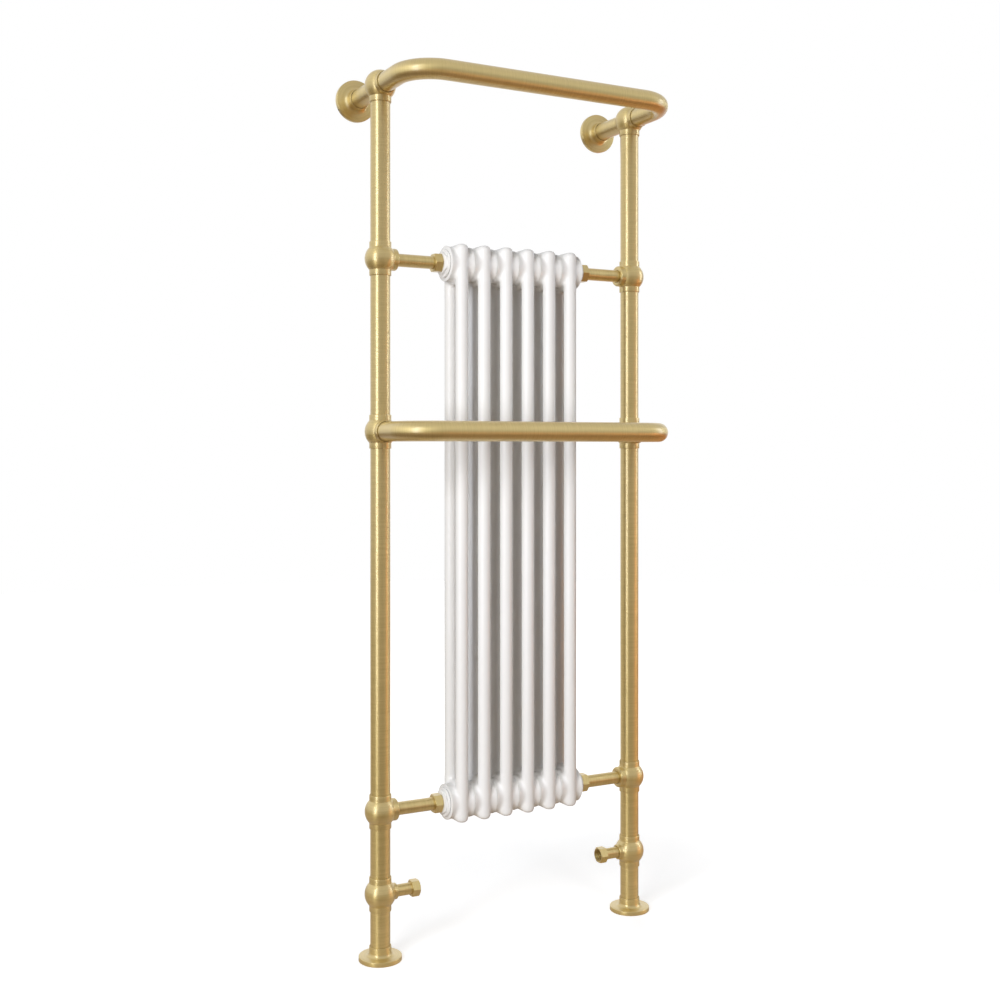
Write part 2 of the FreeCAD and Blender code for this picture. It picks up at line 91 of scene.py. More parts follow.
# Ball ports: radius of the tube and the collar, the collar's reach and edge, and its flare
PORTS = {
    "tube": (TUBE_R, COLLAR_R, COLLAR_REACH, COLLAR_EDGE, COLLAR_FLARE),
    "feed": (FEED_R, COLLAR_R, COLLAR_REACH, FEED_PORT_EDGE, FEED_PORT_FLARE),
    "inlet": (INLET_R, INLET_BOSS_R, COLLAR_REACH, INLET_BOSS_EDGE, INLET_BOSS_FLARE),
    "stay": (STAY_R, STAY_R + STAY_MOUTH_MARGIN, 0, 0, 0),
}

# Floor and wall flanges
FLANGE_R = 36.5
FLANGE_RIM = 7.5
FLANGE_EDGE = 0.9
FLANGE_FOOT_EDGE = 0.4
FLANGE_COVE = 7.0
NECK_WALL = 1.7
FLANGE_HEIGHT = 24.0
FOOT_FLOOR = 4.0
PLATE_R = 30.2
PLATE_RECESS = 5.2
FLANGE_ROOF = 2.0
GRUB_R = 1.5
GRUB_DROP_DEG = 30.0
GRUB_HEIGHT = 2.25
GRUB_CLEARANCE = 0.1
GRUB_SUNK = 0.5
GRUB_KEY_R = 0.8
GRUB_KEY_DEPTH = 1.5

# Radiator
SECTION_COUNT = 6
SECTION_PITCH = 43.4
JOINT_GAP = 0.1
COLUMN_R = 11.15
COLUMN_WALL = 1.25
COLUMN_OFFSET = 21.7
HEAD_RISE = 32.8
HEAD_DROP = 38.0
HUB_COLLAR_R = 30.8
HUB_COLLAR_WIDTH = 1.4
HUB_WAIST_R = 29.3
HUB_WAIST = 16.5
HUB_EDGE = 0.9
RIB_DROP = 15.0
RIB_ROUND = 8.0
WEB_THICKNESS = 16.0
WEB_ROUND = 0.49 * WEB_THICKNESS
WEB_DROP = 36.5
RADIATOR_END = SECTION_COUNT * SECTION_PITCH / 2

# Bushes and nuts, in distances from the radiator's end face or the upright's axis
BUSH_SEAT = 0.8
BUSH_FLANGE_R = 24.5
BUSH_HEX_START = 4.3
BUSH_HEX_END = 9.1
BUSH_HEX_FLATS = 37.0
BUSH_SPIGOT_R = 12.9
BUSH_SPIGOT_END = 17.1
BUSH_BORE_R = 9.0
BUSH_SHANK_R = 20.85
BUSH_SHANK_LENGTH = 13.2
BUSH_SHANK_WALL = 3.85
BUSH_EDGE = 0.9
BUSH_BACK_EDGE = 0.4
BUSH_HEX_LAP = 0.5
UNION_START = 9.4
UNION_END = 24.1
UNION_FLATS = 30.0
UNION_THREAD_R = 13.05
FEED_COLLAR_START = 18.6
FEED_COLLAR_END = 21.6
FEED_COLLAR_R = 12.6
INLET_START = 55.0
INLET_REACH = 69.5
INLET_SHOULDER = 58.0
INLET_THREAD_START = 61.1
INLET_FLATS = 26.0
INLET_THREAD_R = 11.2
INLET_CHAMBER_R = 11.4
TAIL_COLLAR_START = 58.3
TAIL_END = 60.8
TAIL_COLLAR_R = 10.8
TAIL_EDGE = 0.3
THREAD_PITCH = 1.5
THREAD_DEPTH = 0.8
THREAD_HALF_MOUTH = 0.4 * THREAD_PITCH
THREAD_HALF_ROOT = 0.05 * THREAD_PITCH
HEX_CORNER_KEPT = 0.97
HEX_CHAMFER_SLOPE = 0.5
NUT_EDGE = 0.3
NUT_SHARP_DEG = 20.0

# Air vent on the right-hand top ball, in distances from the ball's centre
VENT_SEAT = 25.0
VENT_BOSS_START = 28.0
VENT_END = 33.0
VENT_FLATS = 13.0
VENT_BOSS_R = 5.5
VENT_RECESS_R = 4.0
VENT_SHANK_START = 17.0
VENT_SHANK_R = 4.85
VENT_SPINDLE_R = 2.5
VENT_SQUARE_START = 28.3
VENT_SQUARE = 5.0
VENT_SQUARE_LENGTH = 4.2
VENT_SQUARE_EDGE = 0.4
VENT_EDGE = 0.4
VENT_RECESS_EDGE = 0.3
VENT_LAP = 0.2

# Fineness of the meshes
TURN_STEPS = 96
BEND_STEPS = 28
BALL_STEPS = 6
FLARE_STEPS = 4
ROUND_STEPS = 8
GRUB_STEPS = 24
FLOOR_STEPS = 64

# How squarely a face has to look along an axis to be brushed as a flat end
END_FACING = 0.7

# A head is run together from forms a little larger than it, because smoothing shrinks them
HEAD_GRAIN = 0.9
HEAD_SMOOTHING = 44
HEAD_SHRINK = 0.4
HUB_SHRINK = HEAD_SHRINK / 3
HEAD_MARGIN = 8.0

bodies = frame["record"]["behaviour"]["bodies"]
BODY_OF = {node: body for body, nodes in bodies.items() for node in nodes}


# Finishes
def new_finish(name):
    finish = bpy.data.materials.new(name)
    finish.use_nodes = True
    return finish, finish.node_tree, finish.node_tree.nodes["Principled BSDF"]


def set_inputs(tree, node, inputs):
    """Give a shader node's inputs, by name or number, their values or the sockets that feed them."""
    for name, value in inputs.items():
        if isinstance(value, bpy.types.NodeSocket):
            tree.links.new(value, node.inputs[name])
        else:
            node.inputs[name].default_value = value


def add(tree, kind, inputs=None, **settings):
    node = tree.nodes.new(kind)
    for name, value in settings.items():
        setattr(node, name, value)
    set_inputs(tree, node, inputs or {})
    return node


def object_place(tree):
    return add(tree, "ShaderNodeTexCoord").outputs["Object"]


def noise(tree, where, scale, stretch=(1.0, 1.0, 1.0), detail=3.0):
    """Noise over coordinates that are stretched first, as one grey value about 0.5."""
    moved = add(tree, "ShaderNodeVectorMath", {0: where, 1: stretch}, operation="MULTIPLY")
    inputs = {"Vector": moved.outputs[0], "Scale": scale, "Detail": detail, "Roughness": 0.6}
    return add(tree, "ShaderNodeTexNoise", inputs).outputs[0]


def between(tree, value, low, high):
    """Spread a grey value about 0.5 over a range."""
    inputs = {"Value": value, "From Min": 0.25, "From Max": 0.75, "To Min": low, "To Max": high}
    return add(tree, "ShaderNodeMapRange", inputs).outputs[0]


def blend(tree, factor, first, second):
    inputs = {0: factor, 2: first, 3: second}
    return add(tree, "ShaderNodeMix", inputs, data_type="FLOAT").outputs[0]


def blend_colours(tree, factor, first, second):
    inputs = {0: factor, 6: first, 7: second}
    return add(tree, "ShaderNodeMix", inputs, data_type="RGBA").outputs[2]


def mottle(tree, value, first, second):
    """Colours that follow a grey value about 0.5."""
    return blend_colours(tree, between(tree, value, 0.0, 1.0), first, second)


def relief(tree, height, strength, depth):
    inputs = {"Strength": strength, "Distance": depth, "Height": height}
    return add(tree, "ShaderNodeBump", inputs).outputs[0]


def make_brushed_brass():
    """Lacquered satin brass, brushed round each tube, so that highlights run along it."""
    finish, tree, surface = new_finish("brushed_brass")
    brush = add(tree, "ShaderNodeUVMap", uv_map="brush").outputs[0]
    grain = add(tree, "ShaderNodeTangent", direction_type="UV_MAP", uv_map="brush").outputs[0]
    hairlines = noise(tree, brush, 1.0, (1.1, 0.02, 0.0))
    streaks = noise(tree, brush, 1.0, (0.4, 0.012, 0.0))
    strokes = blend(tree, 0.65, hairlines, streaks)
    clouds = noise(tree, object_place(tree), 7.0)
    deep = mottle(tree, clouds, (0.61, 0.455, 0.14, 1), (0.64, 0.48, 0.155, 1))
    pale = mottle(tree, clouds, (0.82, 0.64, 0.25, 1), (0.85, 0.665, 0.27, 1))
    set_inputs(tree, surface, {
        "Base Color": mottle(tree, strokes, deep, pale),
        "Roughness": between(tree, strokes, 0.41, 0.50),
        "Normal": relief(tree, strokes, 0.4, 0.00006),
        "Tangent": grain,
        "Metallic": 1.0,
        "Anisotropic": 0.72,
        "Coat Weight": 1.0,
        "Coat Roughness": 0.3,
        "Coat IOR": 1.9,
    })
    return finish


def make_white_enamel():
    """Gloss stove enamel with a faint orange peel, a little thinner and warmer in patches."""
    finish, tree, surface = new_finish("white_enamel")
    place = object_place(tree)
    peel = noise(tree, place, 260.0, detail=1.0)
    patches = noise(tree, place, 14.0, (1.0, 1.0, 0.3))
    set_inputs(tree, surface, {
        "Base Color": mottle(tree, patches, (0.84, 0.832, 0.815, 1), (0.87, 0.866, 0.855, 1)),
        "Roughness": between(tree, patches, 0.16, 0.24),
        "Normal": relief(tree, peel, 0.12, 0.0001),
    })
    return finish


def make_plated_steel():
    """Zinc-plated steel with a cloudy spangle."""
    finish, tree, surface = new_finish("plated_steel")
    spangle = noise(tree, object_place(tree), 180.0)
    set_inputs(tree, surface, {
        "Base Color": mottle(tree, spangle, (0.50, 0.50, 0.51, 1), (0.62, 0.62, 0.63, 1)),
        "Roughness": between(tree, spangle, 0.32, 0.5),
        "Metallic": 1.0,
    })
    return finish


def make_dark_steel():
    """Blackened steel, a little worn and brighter in spots."""
    finish, tree, surface = new_finish("dark_steel")
    wear = noise(tree, object_place(tree), 700.0)
    set_inputs(tree, surface, {
        "Base Color": mottle(tree, wear, (0.035, 0.033, 0.03, 1), (0.09, 0.085, 0.08, 1)),
        "Roughness": between(tree, wear, 0.4, 0.55),
        "Metallic": 1.0,
    })
    return finish


def make_fibre_seal():
    """Dark pressed fibre."""
    finish, tree, surface = new_finish("fibre_seal")
    fibres = noise(tree, object_place(tree), 900.0)
    set_inputs(tree, surface, {
        "Base Color": mottle(tree, fibres, (0.018, 0.016, 0.015, 1), (0.04, 0.036, 0.032, 1)),
        "Roughness": 0.85,
        "Normal": relief(tree, fibres, 0.4, 0.0001),
    })
    return finish


BRASS = make_brushed_brass()
ENAMEL = make_white_enamel()
STEEL = make_plated_steel()
DARK_STEEL = make_dark_steel()
SEAL = make_fibre_seal()


# Workshop
def edges_of(found):
    return [item for item in found if isinstance(item, bmesh.types.BMEdge)]


def verts_of(found):
    return [item for item in found if isinstance(item, bmesh.types.BMVert)]


def edges_within(edges, verts):
    """Those edges that have both their ends among some vertices."""
    return [edge for edge in edges if all(vert in verts for vert in edge.verts)]


def everything(bm):
    return bm.verts[:] + bm.edges[:] + bm.faces[:]


def soften(bm, edges, width, segments=3):
    bmesh.ops.bevel(bm, geom=edges, offset=width, offset_type="OFFSET", segments=segments,
                    profile=0.5, affect="EDGES", material=-1)


def lathe(outline):
    """Spin a closed outline of (radius, height) corners about Z; a third value rounds its corner."""
    bm = bmesh.new()
    points = [bm.verts.new((corner[0], 0, corner[1])) for corner in outline]
    sides = [bm.edges.new(ends) for ends in zip(points, points[1:] + points[:1])]
    bmesh.ops.spin(bm, geom=points + sides, cent=(0, 0, 0), axis=UP, dvec=(0, 0, 0),
                   angle=2 * math.pi, steps=TURN_STEPS, use_merge=True)
    bmesh.ops.remove_doubles(bm, verts=bm.verts, dist=WELD)
    loose = [edge for edge in bm.edges if not edge.link_faces]
    bmesh.ops.delete(bm, geom=loose, context="EDGES")
    bmesh.ops.recalc_face_normals(bm, faces=bm.faces)
    for corner in outline:
        if len(corner) == 3:
            radius, height, rounding = corner
            soften(bm, ring_at(bm, radius, height), rounding, 3 + int(rounding))
    return bm


def ring_at(bm, radius, height):
    def on_ring(vert):
        off = abs(vert.co.xy.length - radius) + abs(vert.co.z - height)
        return off < 10 * WELD

    return [edge for edge in bm.edges if all(on_ring(vert) for vert in edge.verts)]


def mill_flats(bm, flats, corner_deg):
    """Cut six flats on a turned blank, and break the edges that the cutter leaves."""
    for number in range(6):
        angle = math.radians(corner_deg + 30 + 60 * number)
        way = Vector((math.cos(angle), math.sin(angle), 0))
        cut = bmesh.ops.bisect_plane(bm, geom=everything(bm), dist=WELD, plane_co=way * (flats / 2),
                                     plane_no=way, clear_outer=True)
        bmesh.ops.edgenet_fill(bm, edges=edges_of(cut["geom_cut"]))
    bmesh.ops.recalc_face_normals(bm, faces=bm.faces)
    outside = flats / 2 * HEX_CORNER_KEPT - WELD
    sharp = [edge for edge in bm.edges
             if len(edge.link_faces) == 2 and edge.calc_face_angle() > math.radians(NUT_SHARP_DEG)
             and all(vert.co.xy.length > outside for vert in edge.verts)]
    soften(bm, sharp, NUT_EDGE, 2)
    return bm


def hex_blank(flats, start, end):
    """The outer corners of a hexagon's turned blank, from its start face to its end face."""
    corner_r = flats / 2 / math.cos(math.radians(30))
    face_r = flats / 2 * HEX_CORNER_KEPT
    chamfer = (corner_r - face_r) * HEX_CHAMFER_SLOPE
    return [(face_r, start), (corner_r, start + chamfer), (corner_r, end - chamfer), (face_r, end)]


def thread_rings(radius, start, end):
    """The corners of an internal thread's grooves, from its end back to its start."""
    count = int((end - start) / THREAD_PITCH)
    root_r = radius + THREAD_DEPTH
    corners = []
    for number in range(count):
        groove = end - (number + 0.5) * THREAD_PITCH
        corners.append((radius, groove + THREAD_HALF_MOUTH))
        corners.append((root_r, groove + THREAD_HALF_ROOT))
        corners.append((root_r, groove - THREAD_HALF_ROOT))
        corners.append((radius, groove - THREAD_HALF_MOUTH))
    return corners


def lay_brush(bm, faces=None, axis=UP):
    """Unroll faces about an axis, so that the brush map runs along it, or outwards on flat ends."""
    layer = bm.loops.layers.uv.get("brush") or bm.loops.layers.uv.new("brush")
    side = axis.orthogonal().normalized()
    other = axis.cross(side)

    def turn_of(spot):
        return math.atan2(spot.dot(other), spot.dot(side))

    bm.normal_update()
    for face in faces or bm.faces:
        flat_end = abs(face.normal.dot(axis)) > END_FACING
        middle = turn_of(face.calc_center_median())
        for loop in face.loops:
            spot = loop.vert.co
            along = spot.dot(axis)
            out = (spot - axis * along).length
            turn = math.remainder(turn_of(spot) - middle, 2 * math.pi) + middle
            loop[layer].uv = (out if flat_end else along, turn * TUBE_R)


def as_mesh(bm, name):
    mesh = bpy.data.meshes.new(name)
    bm.to_mesh(mesh)
    bm.free()
    return mesh


def as_object(bm, name):
    piece = bpy.data.objects.new(name, as_mesh(bm, name))
    bpy.context.scene.collection.objects.link(piece)
    return piece


def worked(piece):
    """The mesh of an object with its modifiers carried out, as a new bmesh; the object goes."""
    bpy.context.view_layer.update()
    shaped = piece.evaluated_get(bpy.context.evaluated_depsgraph_get())
    mesh = bpy.data.meshes.new_from_object(shaped)
    bm = bmesh.new()
    bm.from_mesh(mesh)
    bpy.data.meshes.remove(mesh)
    bpy.data.meshes.remove(piece.data)
    return bm


def add_form(bm, mesh, place=Matrix()):
    before = set(bm.verts)
    bm.from_mesh(mesh)
    added = [vert for vert in bm.verts if vert not in before]
    bmesh.ops.transform(bm, matrix=place, verts=added)


def join_form(bm, form, place=Matrix()):
    """Add a form to a piece and let go of it."""
    mesh = as_mesh(form, "form")
    add_form(bm, mesh, place)
    bpy.data.meshes.remove(mesh)


def drill(bm, bit):
    """Take a bit's form out of a piece; gives the drilled piece, without the slivers that are left."""
    body = as_object(bm, "drilled_body")
    tool = as_object(bit, "drill_bit")
    cut = body.modifiers.new("Drill", "BOOLEAN")
    cut.operation = "DIFFERENCE"
    cut.solver = "EXACT"
    cut.object = tool
    drilled = worked(body)
    bmesh.ops.dissolve_degenerate(drilled, dist=SLIVER, edges=drilled.edges)
    bpy.data.meshes.remove(tool.data)
    return drilled


def turned_to(way):
    """The turn that takes a form made along Z to another direction."""
    return UP.rotation_difference(way).to_matrix().to_4x4()


def dress(bm, name, nodes, slot, finish, point=(0, 0, 0), way=UP, sharp_deg=35, flat_faces=False):
    """Put a piece made along Z in its place, in metres, as what stands for its nodes."""
    place = Matrix.Scale(MM, 4) @ Matrix.Translation(point) @ turned_to(way)
    bmesh.ops.transform(bm, matrix=place, verts=bm.verts)
    piece = as_object(bm, name)
    piece.data.shade_smooth()
    piece.data.set_sharp_from_angle(angle=math.radians(sharp_deg))
    piece.data.materials.append(finish)
    if flat_faces:
        normals = piece.modifiers.new("Flat faces", "WEIGHTED_NORMAL")
        normals.keep_sharp = True
    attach(piece, BODY_OF[nodes[0]])
    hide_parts(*nodes)
    return piece


def dress_brass(bm, node, point, way=UP, **options):
    return dress(bm, node + "_brass", [node], "brushed_brass", BRASS, point, way, **options)


def on_upright(side, height):
    return Vector((SIDES[side].x * UPRIGHT_X, UPRIGHT_Y, height))


def on_wall(side):
    return Vector((SIDES[side].x * UPRIGHT_X, WALL_Y, HEIGHTS["top"]))


# Ball joints
def set_on_circle(verts, way, station, radius):
    for vert in verts:
        out = vert.co - way * vert.co.dot(way)
        vert.co = way * station + out.normalized() * radius


def draw_out(bm, ring, way, station, radius):
    """Extrude an open ring of edges to a circle at a station along way; gives the new ring."""
    drawn = bmesh.ops.extrude_edge_only(bm, edges=ring)["geom"]
    verts = verts_of(drawn)
    set_on_circle(verts, way, station, radius)
    return edges_within(edges_of(drawn), verts)


def cut_round(bm, way, station, radius):
    """Cut a ball off square to way and make the cut a true circle; gives its ring of edges."""
    cut = bmesh.ops.bisect_plane(bm, geom=everything(bm), dist=WELD, plane_co=way * station,
                                 plane_no=way, clear_outer=True)
    set_on_circle(verts_of(cut["geom_cut"]), way, station, radius)
    return edges_of(cut["geom_cut"])


def sink_socket(bm, mouth, way, station, tube_r):
    """Close an opening with the socket of a tube, behind the fine seam that shows round it."""
    bore_r = tube_r + SOLDER_GAP
    lip = draw_out(bm, mouth, way, station, bore_r + SEAM_WIDTH)
    throat = draw_out(bm, lip, way, station - SEAM_DEPTH, bore_r)
    bottom = draw_out(bm, throat, way, SEAT, bore_r)
    bmesh.ops.edgenet_fill(bm, edges=bottom)


def open_port(bm, way, tube_r, collar_r, reach, edge, flare):
    """Open a ball along way for a tube, with a flared collar; gives the height where it starts."""
    level = math.sqrt((BALL_R + flare) ** 2 - (collar_r + flare) ** 2)
    touch = BALL_R / (BALL_R + flare)
    root = touch * level
    root_r = touch * (collar_r + flare)
    ring = cut_round(bm, way, root, root_r)
    sweep = math.atan2(level - root, collar_r + flare - root_r)
    steps = FLARE_STEPS if flare else 0
    for step in range(1, steps + 1):
        angle = sweep * (1 - step / steps)
        out = collar_r + flare * (1 - math.cos(angle))
        ring = draw_out(bm, ring, way, level - flare * math.sin(angle), out)
    mouth = draw_out(bm, ring, way, reach, collar_r) if reach else ring
    sink_socket(bm, mouth, way, max(reach, root), tube_r)
    if edge:
        soften(bm, mouth, edge, 3 + int(edge))
    return root


def ball_joint(vent_way=None, **ports):
    """A ball with its ports, given as the directions of each kind, and a flat for an air vent."""
    bm = bmesh.new()
    bmesh.ops.create_icosphere(bm, subdivisions=BALL_STEPS, radius=BALL_R)
    collars = []
    for kind, ways in ports.items():
        for way in ways:
            root = open_port(bm, way, *PORTS[kind])
            if kind != "stay":
                collars.append((way, root))
    if vent_way:
        flat_r = math.sqrt(BALL_R ** 2 - VENT_SEAT ** 2)
        bmesh.ops.edgenet_fill(bm, edges=cut_round(bm, vent_way, VENT_SEAT, flat_r))
    bmesh.ops.dissolve_degenerate(bm, dist=SLIVER, edges=bm.edges)
    bmesh.ops.recalc_face_normals(bm, faces=bm.faces)
    lay_brush(bm)
    for way, root in collars:
        collar = [face for face in bm.faces if face.calc_center_median().dot(way) > root]
        lay_brush(bm, collar, way)
    return bm


# Tubes
def pipe(radius, wall, start, end):
    inner = radius - wall
    bm = lathe([(inner, start), (radius, start), (radius, end), (inner, end)])
    lay_brush(bm)
    return bm


def extruded(bm, ring, move):
    drawn = bmesh.ops.extrude_edge_only(bm, edges=ring)["geom"]
    verts = verts_of(drawn)
    bmesh.ops.translate(bm, vec=move, verts=verts)
    return edges_within(edges_of(drawn), verts)


def bent(bm, ring, centre):
    drawn = bmesh.ops.spin(bm, geom=ring, cent=centre, axis=UP, dvec=(0, 0, 0),
                           angle=math.pi / 2, steps=BEND_STEPS)
    return edges_of(drawn["geom_last"])


def towel_rail():
    """A tube bent to a U, from the left socket to the right one, level with Z at 0."""
    root_y = UPRIGHT_Y - SEAT
    front_y = UPRIGHT_Y - RAIL_REACH
    bend_y = front_y + RAIL_BEND
    run_x = UPRIGHT_X - RAIL_BEND
    stand = Matrix.Translation((-UPRIGHT_X, root_y, 0)) @ Matrix.Rotation(math.pi / 2, 4, "X")
    bm = bmesh.new()
    bmesh.ops.create_circle(bm, segments=TURN_STEPS, radius=TUBE_R, matrix=stand)
    first = bm.edges[:]
    ring = extruded(bm, first, (0, bend_y - root_y, 0))
    ring = bent(bm, ring, (-run_x, bend_y, 0))
    ring = extruded(bm, ring, (2 * run_x, 0, 0))
    ring = bent(bm, ring, (run_x, bend_y, 0))
    last = extruded(bm, ring, (0, root_y - bend_y, 0))
    bmesh.ops.edgenet_fill(bm, edges=first)
    bmesh.ops.edgenet_fill(bm, edges=last)
    bmesh.ops.remove_doubles(bm, verts=bm.verts, dist=WELD)
    bmesh.ops.recalc_face_normals(bm, faces=bm.faces)
    quarter = RAIL_BEND * math.pi / 2

    def station(spot):
        """How far along the U a spot is from its middle, the way out there and the axis's point."""
        side = math.copysign(1, spot.x)
        if abs(spot.x) <= run_x:
            return spot.x, FRONT, Vector((spot.x, front_y, 0))
        if spot.y >= bend_y:
            along = run_x + quarter + spot.y - bend_y
            return side * along, Vector((side, 0, 0)), Vector((side * UPRIGHT_X, spot.y, 0))
        arm = Vector((spot.x - side * run_x, spot.y - bend_y, 0)).normalized()
        angle = math.acos(max(-1, min(1, -arm.y)))
        middle = Vector((side * run_x, bend_y, 0)) + arm * RAIL_BEND
        return side * (run_x + RAIL_BEND * angle), arm, middle

    layer = bm.loops.layers.uv.new("brush")
    for face in bm.faces:
        first_turn = None
        for loop in face.loops:
            along, out, middle = station(loop.vert.co)
            spoke = loop.vert.co - middle
            turn = math.atan2(spoke.z, spoke.dot(out))
            if first_turn is None:
                first_turn = turn
            turn = math.remainder(turn - first_turn, 2 * math.pi) + first_turn
            loop[layer].uv = (along, turn * TUBE_R)
    return bm


# Flanges
def flange_outline(socket_r, floor):
    neck_r = socket_r + NECK_WALL
    return [
        (FLANGE_R, 0, FLANGE_FOOT_EDGE),
        (FLANGE_R, FLANGE_RIM, FLANGE_EDGE),
        (neck_r, FLANGE_RIM, FLANGE_COVE),
        (neck_r, FLANGE_HEIGHT, COLLAR_EDGE),
        (socket_r + SEAM_WIDTH, FLANGE_HEIGHT),
        (socket_r, FLANGE_HEIGHT - SEAM_DEPTH),
        (socket_r, floor),
        (0, floor),
    ]


def floor_flange():
    bm = lathe([(0, 0)] + flange_outline(TUBE_R + SOLDER_GAP, FOOT_FLOOR))
    lay_brush(bm)
    return bm


def grub_turn(side):
    """Turn a form along Z to a flange's locking screw, as seen along the flange's own axis."""
    drop = math.radians(GRUB_DROP_DEG)
    way = Vector((SIDES[side].x * math.cos(drop), -math.sin(drop), 0))
    return Matrix.Translation((0, 0, GRUB_HEIGHT)) @ turned_to(way)


def wall_flange(side):
    outline = flange_outline(STAY_R + SOLDER_GAP, PLATE_RECESS + FLANGE_ROOF)
    bm = lathe([(PLATE_R, 0)] + outline + [(0, PLATE_RECESS), (PLATE_R, PLATE_RECESS)])
    hole_r = GRUB_R + GRUB_CLEARANCE
    near = PLATE_R - PAST
    far = FLANGE_R + PAST
    bit = lathe([(0, near), (hole_r, near), (hole_r, far), (0, far)])
    bmesh.ops.transform(bit, matrix=grub_turn(side), verts=bit.verts)
    bm = drill(bm, bit)
    lay_brush(bm)
    return bm


def grub_screw(side):
    """A locking screw with a hexagon socket in its outer end."""
    outer_end = FLANGE_R - GRUB_SUNK
    bm = bmesh.new()
    bmesh.ops.create_circle(bm, segments=GRUB_STEPS, radius=GRUB_R)
    wall = bm.edges[:]
    bmesh.ops.translate(bm, vec=(0, 0, PLATE_R), verts=bm.verts)
    rim = extruded(bm, wall, (0, 0, outer_end - PLATE_R))
    bmesh.ops.edgenet_fill(bm, edges=wall)
    top = Matrix.Translation((0, 0, outer_end))
    corners = bmesh.ops.create_circle(bm, segments=6, radius=GRUB_KEY_R, matrix=top)["verts"]
    key = edges_within(bm.edges, corners)
    bmesh.ops.bridge_loops(bm, edges=rim + key)
    floor = extruded(bm, key, (0, 0, -GRUB_KEY_DEPTH))
    bmesh.ops.edgenet_fill(bm, edges=floor)
    bmesh.ops.recalc_face_normals(bm, faces=bm.faces)
    bmesh.ops.transform(bm, matrix=grub_turn(side), verts=bm.verts)
    return bm


# Radiator sections
def rounded_rod(radius, start, end, rounding):
    """A rod along Z whose end is rounded at its corner."""
    corner = []
    for step in range(ROUND_STEPS + 1):
        angle = math.pi / 2 * step / ROUND_STEPS
        out = radius - rounding * (1 - math.cos(angle))
        corner.append((out, end - rounding * (1 - math.sin(angle))))
    return lathe([(0, start), (radius, start)] + corner + [(0, end)])


def rounded_block(size, centre, rounding, end):
    """A block whose two edges along Y are rounded at one end, its top (1) or bottom (-1)."""
    bm = bmesh.new()
    place = Matrix.Translation(centre) @ Matrix.Diagonal(size + (1,))
    bmesh.ops.create_cube(bm, size=1, matrix=place)
    long_edges = [edge for edge in bm.edges
                  if all((vert.co.z - centre[2]) * end > 0 for vert in edge.verts)
                  and edge.verts[0].co.x == edge.verts[1].co.x]
    soften(bm, long_edges, rounding, ROUND_STEPS)
    return bm


def head_blank():
    """The forms of an upper head about its hub's axis: hub, rounded rib, web and legs."""
    face = SECTION_PITCH / 2
    grown_r = COLUMN_R + HEAD_SHRINK
    half = [
        (HUB_COLLAR_R + HUB_SHRINK, face + HEAD_MARGIN),
        (HUB_COLLAR_R + HUB_SHRINK, face - HUB_COLLAR_WIDTH),
        (HUB_WAIST_R + HUB_SHRINK, HUB_WAIST),
    ]
    other_half = [(radius, -station) for radius, station in reversed(half)]
    bm = lathe([(0, face + HEAD_MARGIN)] + half + other_half + [(0, -face - HEAD_MARGIN)])
    along_x = Matrix.Rotation(math.pi / 2, 4, "Y")
    bmesh.ops.transform(bm, matrix=along_x, verts=bm.verts)
    for way in (-1, 1):
        leg = rounded_rod(grown_r, -HEAD_DROP - HEAD_MARGIN, HEAD_RISE, RIB_ROUND)
        join_form(bm, leg, Matrix.Translation((0, way * COLUMN_OFFSET, 0)))
    rib_size = (2 * grown_r, 2 * COLUMN_OFFSET, HEAD_RISE + RIB_DROP)
    join_form(bm, rounded_block(rib_size, (0, 0, (HEAD_RISE - RIB_DROP) / 2), RIB_ROUND, 1))
    web_size = (WEB_THICKNESS, 2 * COLUMN_OFFSET, WEB_DROP)
    join_form(bm, rounded_block(web_size, (0, 0, -WEB_DROP / 2), WEB_ROUND, -1))
    return bm


def section_head():
    """An upper head: its forms run together, smoothed as pressed steel and trimmed to length."""
    piece = as_object(head_blank(), "head_blank")
    grain = piece.modifiers.new("Run together", "REMESH")
    grain.mode = "VOXEL"
    grain.voxel_size = HEAD_GRAIN
    bm = worked(piece)
    for _ in range(HEAD_SMOOTHING):
        bmesh.ops.smooth_vert(bm, verts=bm.verts, factor=0.5, use_axis_x=True, use_axis_y=True,
                              use_axis_z=True)
    end = (SECTION_PITCH - JOINT_GAP) / 2
    for way, station, edge in ((RIGHT, end, HUB_EDGE), (LEFT, end, HUB_EDGE), (DOWN, HEAD_DROP, 0)):
        cut = bmesh.ops.bisect_plane(bm, geom=everything(bm), dist=WELD, plane_co=way * station,
                                     plane_no=way, clear_outer=True)
        rim = edges_of(cut["geom_cut"])
        bmesh.ops.edgenet_fill(bm, edges=rim)
        if edge:
            soften(bm, rim, edge, 2)
    bmesh.ops.recalc_face_normals(bm, faces=bm.faces)
    return as_mesh(bm, "section_head")


def radiator_section(head):
    """Two heads and two columns, with the middle of the section on Z."""
    low = HEIGHTS["lower"]
    high = HEIGHTS["upper"]
    column = as_mesh(pipe(COLUMN_R, COLUMN_WALL, low + HEAD_DROP, high - HEAD_DROP), "column")
    bm = bmesh.new()
    add_form(bm, head, Matrix.Translation((0, 0, high)))
    add_form(bm, head, Matrix.Translation((0, 0, low)) @ Matrix.Rotation(math.pi, 4, "X"))
    for way in (FRONT, REAR):
        add_form(bm, column, Matrix.Translation(way * COLUMN_OFFSET))
    bpy.data.meshes.remove(column)
    return bm


